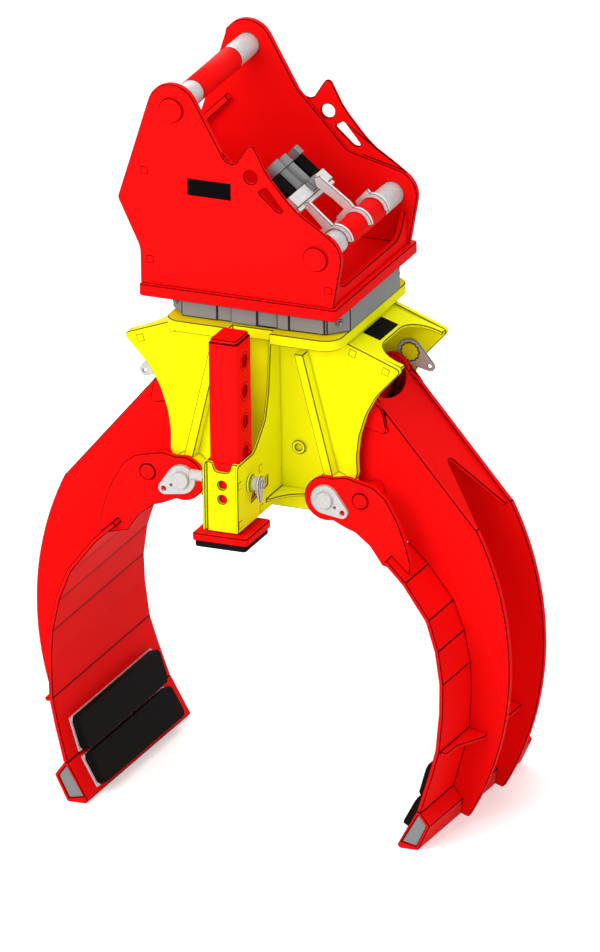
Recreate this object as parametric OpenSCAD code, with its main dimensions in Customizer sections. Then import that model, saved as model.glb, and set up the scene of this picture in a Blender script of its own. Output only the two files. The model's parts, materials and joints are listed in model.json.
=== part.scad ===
// Pipe grab for an excavator: a turning head on two coupler pins, a frame with front
// and rear stabiliser columns, and two arms closed by one cylinder.
// Seen from the front: X to the right, Y to the rear, Z up, ground at Z = 0.

/* [Overall] */
// height of the centre of the gripped circle above the ground
axis_h = 394; // [380:1:460]
// radius of the circle the grip pads close on
grip_r = 610; // [590:1:615]

/* [Turning head] */
// diameter of the two coupler pins
coupler_pin_d = 80; // [70:1:85]
// clear width between the head plates
head_gap = 600; // [520:2:620]
// thickness of the head plates
head_t = 25; // [18:1:32]
// thickness of the head base plate
base_t = 40; // [25:1:50]
// length of the middle sleeves on the coupler pins
sleeve_len = 310; // [200:2:330]

/* [Slewing drive] */
// height of the housing between the flange and the head base
housing_h = 82; // [78:1:100]
// teeth of the drive pinion
pinion_teeth = 14; // [13:1:16]
// tooth module
tooth_m = 5; // [4.6:0.1:5.2]

/* [Frame] */
// room between an arm plate and a frame plate
arm_room = 29; // [24:1:40]
// thickness of the frame plates
frame_t = 23; // [16:1:26]
// thickness of the top flange
flange_t = 38; // [25:1:45]
// width of the frame box between the plates
core_w = 230; // [180:2:250]

/* [Arms] */
// thickness of the arm plates and lugs
arm_t = 25; // [18:1:28]
// distance of the inner arm plates over their outer faces
arm_w = 308; // [290:2:330]
// room between a frame plate and a lug plate
lug_room = 59; // [52:1:70]
// thickness of the belly plate
belly_t = 15; // [10:1:18]
// half width of the belly plate at its upper end
belly_top = 332; // [310:2:360]
// half width of the belly plate at the tip
belly_tip = 424; // [390:2:440]
// thickness of the grip pads
pad_t = 30; // [20:1:34]

/* [Pivots and cylinder] */
// diameter of the arm pivot pins
pivot_d = 70; // [56:1:76]
// diameter of the cylinder pins
cyl_pin_d = 50; // [40:1:54]
// outer diameter of the cylinder barrel
barrel_d = 110; // [98:1:116]
// diameter of the piston rod
rod_d = 46; // [36:1:56]

/* [Stabilisers] */
// width of a stabiliser column
column_w = 102; // [92:1:108]
// depth of a stabiliser column
column_d = 122; // [110:1:128]
// spacing of the cross holes in a column
hole_pitch = 105; // [98:1:108]
// diameter of the index pins
index_d = 35; // [28:1:38]

/* [Hidden] */
$fn = 48;

run_fit = 0.06;       // radial play of a shaft in its bush
side_gap = 4;         // side play between moving plates
eye_gap = 0.8;        // play of the rod eye on its pin
turn_gap = 3;         // gap below the turning housing

P1 = [252, 724];      // arm pivot
P2 = [307, 1023];     // rounded top of an arm plate
C2 = [255, 1000];     // cylinder pin
P3 = [355, 1080];     // ear pin
UP = [-254, 2014];    // upper coupler pin
LP = [246, 1567];     // lower coupler pin

frame_in = arm_w / 2 + arm_room;
frame_y = frame_in + frame_t;
lug_in = frame_y + lug_room;
flange_z1 = 1278;
flange_z0 = flange_z1 - flange_t;
base_z0 = flange_z1 + housing_h;
base_z1 = base_z0 + base_t;
head_in = head_gap / 2;
head_y = head_in + head_t;
hub_y0 = arm_w / 2 + side_gap;
hub_y1 = lug_in - side_gap;
bush_t = 9;
hub_wall = 21;
hub_r = pivot_d / 2 + bush_t + hub_wall;
pin_r = coupler_pin_d / 2;

yellow = [0.93, 0.80, 0.03];
red = [0.80, 0.04, 0.04];
grey = [0.55, 0.55, 0.56];
steel = [0.72, 0.72, 0.73];
black = [0.05, 0.05, 0.05];
bronze = [0.72, 0.55, 0.28];
chrome = [0.86, 0.86, 0.88];

// unit vector, quarter turn and heading of a plane vector
function unit(v) = v / norm(v);
function quarter(v) = [-v[1], v[0]];
function heading(v) = atan2(v[1], v[0]);
function wrap(a) = a > 180 ? a - 360 : a < -180 ? a + 360 : a;

// polygon with each corner rounded
function corner(a, v, b, r, n) = r <= 0 ? [v] :
    let (u = unit(a - v), w = unit(b - v), h = acos(u * w) / 2,
         c = v + unit(u + w) * r / sin(h), p = v + u * r / tan(h), q = v + w * r / tan(h),
         s = heading(p - c), e = wrap(heading(q - c) - s))
    [for (i = [0 : n]) c + r * [cos(s + e * i / n), sin(s + e * i / n)]];
function soft(pts, r, n = 4) = let (m = len(pts)) [for (i = [0 : m - 1])
    each corner(pts[(i + m - 1) % m], pts[i], pts[(i + 1) % m], is_list(r) ? r[i] : r, n)];

// point where the tangent from p touches the circle (c, r); s picks the side
function touch(p, c, r, s) = let (d = norm(p - c), a = heading(p - c), b = acos(r / d))
    c + r * [cos(a + s * b), sin(a + s * b)];

// points of an arc
function arc(c, r, a0, a1, n) = [for (i = [0 : n]) let (a = a0 + (a1 - a0) * i / n) c + r * [cos(a), sin(a)]];
// locking flag: a round plate of radius r about the origin with a rounded tail
module teardrop(r, tail, rt) {
    h = heading(tail);
    b = acos((r - rt) / norm(tail));
    polygon(concat(arc([0, 0], r, h + b, h - b + 360, 24), arc(tail, rt, h - b, h + b, 8)));
}

// profile in the front view, extruded along Y between y0 and y1
module along_y(y0, y1) translate([0, y1, axis_h]) rotate([90, 0, 0]) linear_extrude(y1 - y0) children();
// profile in the side view (Y, Z), extruded along X between x0 and x1
module along_x(x0, x1) translate([x0, 0, axis_h]) rotate([90, 0, 90]) linear_extrude(x1 - x0) children();
// profile in the plan view, extruded between two heights
module along_z(z0, z1) translate([0, 0, axis_h + z0]) linear_extrude(z1 - z0) children();
// both signs of Y, both signs of X
module both_y() { children(); mirror([0, 1, 0]) children(); }
module both_x() { children(); mirror([1, 0, 0]) children(); }
// round bar along Y, X or Z
module bar_y(c, r, y0, y1) along_y(y0, y1) translate(c) circle(r);
module bar_x(y, z, r, x0, x1) along_x(x0, x1) translate([y, z]) circle(r);
module bar_z(x, y, r, z0, z1) along_z(z0, z1) translate([x, y]) circle(r);
module block(a, b) translate([a[0], a[1], axis_h + a[2]]) cube(b - a);

// Frame

EAR = [478, 1154];
EAR_R = 25;
EAR_TOP = touch([292, flange_z0], EAR, EAR_R, -1);
module frame_plate(y0, y1) difference() {
    union() {
        along_y(y0, y1) difference() {
            polygon([[-292, flange_z0], [292, flange_z0], EAR_TOP, EAR, [470, 771], [322.5, 771], P1,
                [P1[0] - 10, 644], [-P1[0] + 10, 644], [-P1[0], P1[1]], [-322.5, 771], [-470, 771],
                [-EAR[0], EAR[1]], [-EAR_TOP[0], EAR_TOP[1]]]);
            for (s = [-1, 1]) translate([s * 692, 835]) circle(375, $fn = 120);
        }
        both_x() bar_y(EAR, EAR_R, y0, y1);
        both_x() bar_y(P1, 82, y0, y1, $fn = 72);
    }
    both_x() bar_y(P1, hub_r, y0 - 1, y1 + 1);
}
module frame_plate_front() color(yellow) frame_plate(-frame_y, -frame_in);
module frame_plate_rear() color(yellow) frame_plate(frame_in, frame_y);

CORE_Z1 = 935;
module frame_core() color(yellow) {
    both_x() {
        block([core_w / 2 - 15, -frame_in, 660], [core_w / 2, frame_in, CORE_Z1 - 14]);
        block([225, -frame_in, 1120], [240, frame_in, flange_z0]);
    }
    block([-core_w / 2, -frame_in, CORE_Z1 - 14], [core_w / 2, frame_in, CORE_Z1]);
    block([-core_w / 2, -frame_in, 646], [core_w / 2, frame_in, 660]);
    block([-225, -frame_in, 1120], [225, frame_in, 1132]);
}

// the roof plates lie a little below the plate edges and are cut out towards the ear
ROOF_DIR = unit(EAR_TOP - [292, flange_z0]);
ROOF_N = quarter(ROOF_DIR);
roof_drop = 9;
roof_len = 200;
function on_roof(a, up) = [292, flange_z0] + a * ROOF_DIR + (up - roof_drop) * ROOF_N;
module frame_roof() color(yellow) both_x() difference() {
    along_y(-frame_in, frame_in) polygon([on_roof(0, 0), on_roof(roof_len, 0), on_roof(roof_len, -12),
        on_roof(0, -12)]);
    translate([292, 0, axis_h + flange_z0]) rotate([0, -heading(ROOF_DIR), 0]) translate([0, 0, -60])
        linear_extrude(120) polygon(soft([[86, -156], [300, -156], [300, 156], [86, 156]], [95, 0, 0, 95], 8));
}
module roof_label() color(black) along_y(-76, 76)
    polygon([on_roof(10, 0), on_roof(73, 0), on_roof(73, 2), on_roof(10, 2)]);

module top_flange() color(yellow) along_z(flange_z0, flange_z1) difference() {
    polygon(soft([[-305, -312], [305, -312], [305, 312], [-305, 312]], 60, 8));
    for (s = [-1, 1]) translate([-70, s * 312 - 32]) square([140, 64]);
    circle(150, $fn = 72);
}

module frame_ribs() color(yellow) both_y() {
    both_x() along_y(-frame_y - 45, -frame_y) difference() {
        polygon([[130, 1194], [162, 1194], [264, 778], [232, 778]]);
        translate(P1) circle(hub_r);
    }
    difference() {
        bar_y([128, 859], 24, -frame_y - 12, -frame_y);
        bar_y([128, 859], 11, -frame_y - 13, -frame_y + 1);
    }
}

module pivot_hubs() color(yellow) both_x() both_y() difference() {
    bar_y(P1, hub_r, hub_y0, hub_y1);
    bar_y(P1, pivot_d / 2 + bush_t, hub_y0 - 1, hub_y1 + 1);
}
module pivot_bushes() color(bronze) both_x() both_y() difference() {
    bar_y(P1, pivot_d / 2 + bush_t, hub_y0, hub_y1);
    bar_y(P1, pivot_d / 2 + run_fit, hub_y0 - 1, hub_y1 + 1);
}

// splined stop on the inner face of the rear plate on the right and of the front plate on the left,
// with its locking flag
module star(r, n) polygon([for (k = [0 : 2 * n - 1]) let (q = k % 2 == 0 ? r : r * 0.88)
    q * [cos(k * 180 / n), sin(k * 180 / n)]]);
module on_ear(s, h0, h1) along_y(s > 0 ? frame_in - h1 : h0 - frame_in, s > 0 ? frame_in - h0 : h1 - frame_in)
    translate([s * P3[0], P3[1]]) children();
module ear_pins() color(yellow) for (s = [-1, 1]) on_ear(s, 0, 9) star(34, 12);
TAIL = [68, -42];
module ear_pin_flags() color(steel) both_flags() difference() {
    on_ear(1, 0, 8) teardrop(44, TAIL, 18);
    on_ear(1, -1, 9) star(34, 12);
    on_ear(1, -1, 9) translate(TAIL) circle(7);
}
module both_flags() { children(); rotate(180) children(); }

// Slewing bearing and drive

ring_teeth = 5 * pinion_teeth;
ring_pr = ring_teeth * tooth_m / 2;
pinion_pr = pinion_teeth * tooth_m / 2;
pinion_a = 160;
pinion_at = (ring_pr - pinion_pr) * [cos(pinion_a), sin(pinion_a)];
ring_in_r = ring_pr + 25;
race_gap = 3;
lip = 16;
ring_top = flange_z1 + 66;

function involute(rb, t) = rb * [cos(t) + t * PI / 180 * sin(t), sin(t) - t * PI / 180 * cos(t)];
function roll(rb, r) = sqrt(max(0, pow(r / rb, 2) - 1)) * 180 / PI;
function turned(p, a) = [p[0] * cos(a) - p[1] * sin(a), p[0] * sin(a) + p[1] * cos(a)];
// gear outline with n teeth: play narrows each flank, add and ded are tooth height and depth
module toothed(n, m, add, ded, play, pa = 25) {
    pr = n * m / 2;
    rb = pr * cos(pa);
    r0 = max(rb, pr - ded);
    at_pitch = heading(involute(rb, roll(rb, pr)));
    half = 90 / n - play / pr * 180 / PI;
    flank = [for (i = [0 : 4]) let (r = r0 + (pr + add - r0) * i / 4)
        turned(involute(rb, roll(rb, r)), -half - at_pitch)];
    root = (pr - ded) * unit(flank[0]);
    tooth = concat([root], flank, [for (i = [4 : -1 : 0]) [flank[i][0], -flank[i][1]]], [[root[0], -root[1]]]);
    polygon([for (k = [0 : n - 1]) each [for (p = tooth) turned(p, k * 360 / n)]]);
}

module slew_ring_gear() color(steel) difference() {
    union() {
        bar_z(0, 0, ring_in_r, flange_z1, ring_top, $fn = 96);
        bar_z(0, 0, ring_in_r + lip, ring_top - 16, ring_top, $fn = 96);
    }
    along_z(flange_z1 - 1, ring_top + 1) toothed(ring_teeth, tooth_m, 1.2 * tooth_m, 0.8 * tooth_m, -0.35);
}
module slew_ring_bolts() color(steel) for (a = [0 : 30 : 330]) rotate(a)
    bar_z(ring_in_r - 10, 0, 7, ring_top, ring_top + 6);

module slew_outer_ring() color(steel) difference() {
    bar_z(0, 0, ring_in_r + lip + 22, flange_z1 + 20, base_z0, $fn = 96);
    bar_z(0, 0, ring_in_r + race_gap, flange_z1, base_z0 + 1, $fn = 96);
    bar_z(0, 0, ring_in_r + lip + race_gap, ring_top - 16 - race_gap, base_z0 + 1, $fn = 96);
}

ring_step = 360 / ring_teeth;
pinion_turn = pinion_a - (pinion_a - ring_step * round(pinion_a / ring_step)) * ring_teeth / pinion_teeth;
module slew_pinion() color(steel) {
    translate([pinion_at[0], pinion_at[1], 0]) rotate(pinion_turn)
        along_z(flange_z1 + 8, ring_top - 4)
            toothed(pinion_teeth, tooth_m, 0.8 * tooth_m, 1.2 * tooth_m, 0.35);
    bar_z(pinion_at[0], pinion_at[1], 18, ring_top - 4, base_z1 + 30);
}

// Turning head

module head_rise() translate([0, 0, base_z1 - 1400]) children();
HOOK = [-439, 1724];
LATCH = [-79, 1874];
module head_plate(y0, y1) head_rise() difference() {
    union() {
        along_y(y0, y1) polygon([[-372, 1400], [-372, 1511], [-377, 1545], [-392, 1574], [-444, 1674],
            [-448, 1702], HOOK, touch(HOOK, UP, 86, -1), UP, touch(LATCH, UP, 86, 1),
            LATCH, [-44, 1851], [-16, 1882], [6, 1913], [14, 1921], [24, 1918], [41, 1887], [61, 1841],
            [88, 1800], [140, 1741], [196, 1704], [255, 1664], [286, 1644], LP,
            touch([303, 1400], LP, 87, 1), [303, 1400]]);
        bar_y(UP, 86, y0, y1, $fn = 72);
        bar_y(LP, 87, y0, y1, $fn = 72);
    }
    for (p = [UP, LP]) bar_y(p, pin_r, y0 - 1, y1 + 1);
    bar_y([20, 1815], 24, y0 - 1, y1 + 1);
    along_y(y0 - 1, y1 + 1) polygon(soft([[42, 1769], [71, 1784], [133, 1709], [87, 1717]], 9, 3));
}
module head_plate_front() color(red) head_plate(-head_y, -head_in);
module head_plate_rear() color(red) head_plate(head_in, head_y);

module head_base() color(red) difference() {
    along_z(base_z0, base_z1) polygon(soft([[-374, -341], [318, -341], [318, 341], [-374, 341]], 15, 4));
    bar_z(pinion_at[0], pinion_at[1], 18 + run_fit, base_z0 - 1, base_z1 + 1);
}

wall_t = 22;
WALL = [[-360, 1400], [-360, 1514], [-381, 1571], [-432, 1674], [-427, 1722], [-407, 1756], [-325, 1838]];
module head_walls() color(red) head_rise() {
    along_x(275, 275 + wall_t) polygon(soft([[-head_in, 1400], [head_in, 1400], [head_in, 1510],
        [head_in - 14, 1510], [head_in - 60, 1438], [60 - head_in, 1438], [14 - head_in, 1510],
        [-head_in, 1510]], [0, 0, 0, 6, 70, 70, 6, 0], 6));
    difference() {
        along_y(-head_in, head_in) polygon(concat(WALL, rev(inner_of(WALL, wall_t))));
        along_x(-500, -200) polygon(soft([[12 - head_in, 1900], [60 - head_in, 1712], [head_in - 60, 1712],
            [head_in - 12, 1900]], [0, 60, 60, 0], 6));
    }
}
module head_label() color(black) head_rise() block([-203, -head_y - 2, 1726], [-50, -head_y, 1784]);

module coupler_pin_upper() color(steel) head_rise() bar_y(UP, pin_r, -head_y, head_y);
module coupler_pin_lower() color(steel) head_rise() bar_y(LP, pin_r, -head_y, head_y);
cap_t = 12;
module pin_sleeves() color(red) head_rise() for (p = [UP, LP]) {
    difference() {
        bar_y(p, pin_r + 2, -sleeve_len / 2, sleeve_len / 2);
        bar_y(p, pin_r, -sleeve_len / 2 - 1, sleeve_len / 2 + 1);
    }
    both_y() bar_y(p, pin_r + 2, head_y, head_y + cap_t);
}

module octagon(x, y, cx, cy) polygon([[x, cy - y], [x, y - cy], [x - cx, y], [cx - x, y],
    [-x, y - cy], [-x, cy - y], [cx - x, -y], [x - cx, -y]]);
HOUSE = [312, 264];
CHAMFER = [57, 60];
module rotator_housing() color(grey) {
    along_z(flange_z1 + turn_gap, base_z0) difference() {
        octagon(HOUSE[0], HOUSE[1], CHAMFER[0], CHAMFER[1]);
        octagon(HOUSE[0] - 18, HOUSE[1] - 18, CHAMFER[0] - 5, CHAMFER[1] - 5);
    }
    both_y() for (c = [[-254, -121, 3], [-121, -68, 7], [62, 132, 3], [132, 167, 7]])
        block([c[0], -HOUSE[1] - c[2], flange_z1 + turn_gap + 5], [c[1], -HOUSE[1], base_z0 - 5]);
}
module housing_fittings() color(steel) both_y() both_x()
    translate([HOUSE[0] - CHAMFER[0] / 2, CHAMFER[1] / 2 - HOUSE[1], axis_h + (flange_z1 + base_z0) / 2])
        rotate([0, 90, heading([CHAMFER[1], -CHAMFER[0]])]) {
            cylinder(h = 7, r = 13);
            translate([0, 0, 7]) cylinder(h = 8, r = 6);
        }

module slew_motor() color(grey) difference() {
    union() {
        bar_z(pinion_at[0], pinion_at[1], 62, base_z1, base_z1 + 18);
        bar_z(pinion_at[0], pinion_at[1], 50, base_z1 + 18, base_z1 + 120);
        bar_z(pinion_at[0], pinion_at[1], 40, base_z1 + 120, base_z1 + 150);
    }
    bar_z(pinion_at[0], pinion_at[1], 18 + run_fit, base_z1 - 1, base_z1 + 32);
}

// bracket on the lower coupler pin: local x runs up and inward, local z is the underside normal
module on_lower_pin() head_rise() translate([LP[0], 0, axis_h + LP[1]]) rotate([0, -141.3, 0]) children();
module slab(a, b) translate(a) cube(b - a);
module hose_bracket() color(steel) on_lower_pin() {
    for (c = [[-150, -112], [-22, 22], [112, 150]]) difference() {
        union() {
            translate([0, c[0], 0]) rotate([-90, 0, 0]) cylinder(h = c[1] - c[0], r = 58);
            slab([0, c[0], 15], [76, c[1], 31]);
        }
        translate([0, c[0] - 1, 0]) rotate([-90, 0, 0]) cylinder(h = c[1] - c[0] + 2, r = pin_r + 2);
        slab([-60, c[0] - 1, -60], [-6, c[1] + 1, 60]);
    }
    slab([76, -150, 15], [100, 150, 31]);
    slab([100, -95, 15], [166, -58, 31]);
    slab([100, 60, 15], [166, 118, 31]);
    slab([166, -142, 15], [212, 145, 45]);
}
module coupling_blocks() color(black) on_lower_pin() {
    slab([212, -126, 15], [292, -62, 50]);
    slab([212, 62, 15], [292, 126, 50]);
}
module hose_couplings() color(grey) on_lower_pin() {
    for (c = [[-30, 27, 78, 41], [31, 27, 78, 38]]) translate([212, c[0], 38]) rotate([0, 90, 0]) {
        cylinder(h = c[2], r = c[1]);
        translate([0, 0, c[2]]) cylinder(h = c[3], r = 30);
    }
    slab([292, 112, 18], [326, 147, 50]);
    slab([172, -8, -3], [212, 52, 15]);
}

// Arms

BELLY = [[480, 557], [550, 491], [636, 378], [672, 279], [692, 171], [694, 75], [685, -55],
    [662, -144], [626, -264]];
// inner side of the folded belly plate
function inner_of(p, t) = let (m = len(p)) [for (i = [0 : m - 1])
    let (a = i > 0 ? unit(p[i] - p[i - 1]) : unit(p[1] - p[0]),
         b = i < m - 1 ? unit(p[i + 1] - p[i]) : unit(p[m - 1] - p[m - 2]),
         n = unit(quarter(a) + quarter(b))) p[i] - n * t / (n * quarter(b))];
BELLY_IN = inner_of(BELLY, belly_t);
function rev(p) = [for (i = [len(p) - 1 : -1 : 0]) p[i]];
module belly_profile() polygon(concat(BELLY, rev(BELLY_IN)));

arm_in = arm_w / 2 - arm_t;
TIP = [[542, -385], [552, -394], [615, -394], [658, -307], [626, -264]];
B_TOP = touch([717, 631], P2, 59, 1);
B_IN = touch([P1[0] - 76, P1[1]], P2, 59, -1);
module arm_blank() {
    intersection() {
        polygon(concat([B_TOP, [717, 631], [870, 560], [900, 170], [860, -300], [700, -345],
            [676, -367], [649, -357], [658, -307]], rev(BELLY),
            [[405, 579], [353, 620], [318, 632], P1 + [14, -74], P1 - [75, 0], B_IN]));
        translate([-194, 170]) circle(1024, $fn = 240);
    }
    translate(P2) circle(59, $fn = 60);
    translate(C2) circle(47, $fn = 60);
    translate(P1) circle(75, $fn = 60);
}
module arm_plate() difference() {
    arm_blank();
    translate(P1) circle(pivot_d / 2);
    translate(C2) circle(cyl_pin_d / 2);
}
module mirrored(s) { if (s > 0) children(); else mirror([1, 0, 0]) children(); }

cheek_t = 10;
CHEEK = [touch([717, 631], P2, 56, 1), [400, 1000], [418, 918], [324, 942], [264, 990]];
module arm_plates(s) color(red) mirrored(s) both_y() {
    along_y(arm_in, arm_w / 2) arm_plate();
    along_y(arm_w / 2, arm_w / 2 + cheek_t) difference() {
        union() {
            polygon(soft(CHEEK, [0, 0, 14, 14, 0], 3));
            translate(P2) circle(56, $fn = 60);
        }
        translate(C2) circle(cyl_pin_d / 2 + 14);
    }
}
tube_r = 27;
TUBE = [373, 732];
module lug() difference() {
    union() {
        polygon(soft([[190, 756], [268, 795], [321, 806], [416, 784], [461, 749], [505, 668],
            [528, 603], [545, 536], [541, 494], [468, 515], [446, 519], [405, 579], [353, 620],
            [318, 632], [266, 656], [207, 672], [176, 720]],
            [25, 50, 50, 50, 50, 50, 50, 20, 8, 5, 8, 40, 50, 50, 50, 18, 18], 3));
        translate(P1) circle(75, $fn = 60);
    }
    translate(P1) circle(pivot_d / 2);
    translate(TUBE) circle(tube_r);
    belly_profile();
}
module arm_lugs(s) color(red) mirrored(s) both_y() {
    along_y(lug_in, lug_in + arm_t) lug();
    bar_y(TUBE, tube_r, arm_w / 2, lug_in + arm_t + 2);
}
module arm_belly(s) color(red) mirrored(s) intersection() {
    along_y(-belly_tip, belly_tip) belly_profile();
    along_x(300, 800) polygon([[-belly_top, 560], [belly_top, 560], [belly_tip, -270], [-belly_tip, -270]]);
}
// spine between the arm plates, set a little below their edges, open at both ends
SPINE_END = [717, 631];
SPINE_DIR = unit(SPINE_END - B_TOP);
SPINE_L = norm(SPINE_END - B_TOP);
spine_t = 15;
spine_drop = 8;
arch = 229;
module spine() translate([B_TOP[0], 0, axis_h + B_TOP[1]]) rotate([0, -heading(SPINE_DIR), 0])
    translate([0, 0, -spine_drop - spine_t]) linear_extrude(spine_t) difference() {
        translate([0, -arm_in]) square([SPINE_L, 2 * arm_in]);
        polygon(concat([for (a = [-90 : 15 : 90]) [67 * cos(a), (arm_in - 4) * sin(a)]],
            [[-2, arm_in - 4], [-2, 4 - arm_in]]));
        polygon(concat([[SPINE_L + 1, 14 - arm_in]], [for (a = [-90 : -22.5 : -270])
            [SPINE_L - arch + 24 + 24 * cos(a), 24 * sin(a)]], [[SPINE_L + 1, arm_in - 14]]));
    }
// tapered fin on the back of the belly plate
FIN = [685, -55];
module fin(y0, pts) translate([FIN[0], 0, axis_h + FIN[1]]) rotate([0, -heading([66, -15]), 0])
    translate([0, 0, -14]) linear_extrude(14) translate([0, y0]) polygon(pts);
module arm_stiffeners(s) color(red) mirrored(s) {
    spine();
    fin(-arm_in, [[0, 0], [66, 0], [66, 2 * arm_in], [0, 2 * arm_in]]);
    both_y() fin(arm_w / 2, soft([[0, 0], [67, 0], [67, 26], [24, 150], [21, 236], [0, 236]],
        [0, 0, 8, 60, 9, 0], 3));
}
module tip_profile() polygon(concat(TIP, [BELLY_IN[8]]));
module arm_tip(s) color(red) mirrored(s) along_y(-belly_tip, belly_tip) difference() {
    tip_profile();
    tip_core();
}
function inset(p, t) = let (m = len(p)) [for (i = [0 : m - 1])
    let (a = unit(p[i] - p[(i + m - 1) % m]), b = unit(p[(i + 1) % m] - p[i]),
         n = unit(quarter(a) + quarter(b))) p[i] + n * t / (n * quarter(b))];
module tip_core() polygon(inset(concat([TIP[0] + [-2, 6]], [TIP[2], TIP[3], TIP[4]], [BELLY_IN[8]]), 12));
module tip_bar(s) color(grey) mirrored(s) along_y(-belly_tip + 6, belly_tip - 6) tip_core();

// pads with chamfered ends on a thin backing strip
back_t = 8;
module pad_on(a, b, len0, len1, half) {
    d = unit(b - a);
    q = a + 0.03 * quarter(d) * -1;
    translate([q[0], 0, axis_h + q[1]]) rotate([0, -heading(d), 0]) mirror([0, 0, 1]) {
        translate([len0 + 8, -half + 12, 0]) cube([len1 - len0 - 16, 2 * half - 24, back_t]);
        difference() {
            translate([len0, -half, back_t]) cube([len1 - len0, 2 * half, pad_t]);
            for (x = [len0, len1], y = [-half, half]) translate([x, y, back_t - 1]) rotate(45)
                cube([20, 20, 3 * pad_t], center = true);
        }
    }
}
module grip_pads(s) color(black) mirrored(s) {
    pad_on(BELLY_IN[7], BELLY_IN[8], 5, 120, 330);
    pad_on(BELLY_IN[8], TIP[0], 14, 125, 330);
}
FLAG = [58, -36];
flag_t = 10;
module pivot_pins(s) color(steel) mirrored(s) both_y() {
    bar_y(P1, pivot_d / 2, arm_in - 4, lug_in + arm_t);
    along_y(lug_in + arm_t, lug_in + arm_t + flag_t) translate(P1) difference() {
        teardrop(49, FLAG, 22);
        translate(FLAG + [3, -2]) circle(9);
        translate([35, -23]) circle(5);
    }
    bar_y(P1, 28, lug_in + arm_t + flag_t, lug_in + arm_t + flag_t + 11);
}
module cylinder_pin(s) color(steel) mirrored(s) bar_y(C2, cyl_pin_d / 2, -arm_w / 2 - 8, arm_w / 2 + 8);

module arm_plates_right() arm_plates(1);
module arm_lugs_right() arm_lugs(1);
module arm_belly_right() arm_belly(1);
module arm_stiffeners_right() arm_stiffeners(1);
module arm_tip_right() arm_tip(1);
module tip_bar_right() tip_bar(1);
module grip_pads_right() grip_pads(1);
module pivot_pins_right() pivot_pins(1);
module cylinder_pin_right() cylinder_pin(1);
module arm_plates_left() arm_plates(-1);
module arm_lugs_left() arm_lugs(-1);
module arm_belly_left() arm_belly(-1);
module arm_stiffeners_left() arm_stiffeners(-1);
module arm_tip_left() arm_tip(-1);
module tip_bar_left() tip_bar(-1);
module grip_pads_left() grip_pads(-1);
module pivot_pins_left() pivot_pins(-1);
module cylinder_pin_left() cylinder_pin(-1);

// Cylinder between the arm tops, its axis level at the height of the cylinder pins

eye_r = 38;
eye_w = 90;
barrel_r = barrel_d / 2;
bore_r = barrel_r - 12;
barrel_x0 = -C2[0] + 32;
barrel_x1 = -C2[0] + 322;
gland_x0 = barrel_x1 - 34;
piston_x0 = C2[0] - 313;
piston_w = 26;
module cylinder_barrel() color(grey) difference() {
    union() {
        bar_x(0, C2[1], barrel_r, barrel_x0, barrel_x1);
        bar_y([-C2[0], C2[1]], eye_r, -eye_w / 2, eye_w / 2);
    }
    bar_y([-C2[0], C2[1]], cyl_pin_d / 2 + run_fit, -eye_w, eye_w);
    bar_x(0, C2[1], bore_r, barrel_x0 + 14, barrel_x1 + 1);
}
module cylinder_gland() color(steel) difference() {
    bar_x(0, C2[1], bore_r, gland_x0, barrel_x1);
    bar_x(0, C2[1], rod_d / 2 + run_fit, gland_x0 - 1, barrel_x1 + 1);
}
module cylinder_rod() color(chrome) difference() {
    union() {
        bar_x(0, C2[1], rod_d / 2, piston_x0, C2[0] - 28);
        bar_x(0, C2[1], bore_r - 0.4, piston_x0, piston_x0 + piston_w);
        bar_y(C2, eye_r, -eye_w / 2, eye_w / 2);
    }
    bar_y(C2, cyl_pin_d / 2 + eye_gap, -eye_w, eye_w);
}

// Stabilisers

COL_Y0 = -frame_y - 326;
COL_Y1 = COL_Y0 + column_d;
COL_TOP = 1323;
INDEX = [(COL_Y0 + COL_Y1) / 2, 819];
hole_r = index_d / 2 + 3.5;
col_gap = 2;
slv_in = column_w / 2 + col_gap;
slv_out = slv_in + 10;
slv_f = COL_Y0 - 4;
slv_b = COL_Y1 + 4;
foot_z0 = 637;
foot_z1 = 663;

module on_side(s) { if (s < 0) children(); else mirror([0, 1, 0]) children(); }
module column_plan(x, y0, y1) polygon(soft([[-x, y0], [x, y0], [x, y1], [-x, y1]], 12, 4));
module column(s) color(red) on_side(s) difference() {
    union() {
        along_z(foot_z1, COL_TOP - 12) difference() {
            column_plan(column_w / 2, COL_Y0, COL_Y1);
            column_plan(column_w / 2 - 10, COL_Y0 + 10, COL_Y1 - 10);
        }
        along_z(COL_TOP - 12, COL_TOP) column_plan(column_w / 2 - 5, COL_Y0 + 5, COL_Y1 - 5);
        for (k = [-1 : 4]) bar_x(INDEX[0], INDEX[1] + k * hole_pitch, hole_r + 10, -column_w / 2, column_w / 2);
    }
    for (k = [-1 : 4]) bar_x(INDEX[0], INDEX[1] + k * hole_pitch, hole_r, -column_w, column_w);
}
module column_front() column(-1);
module column_rear() column(1);

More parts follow.
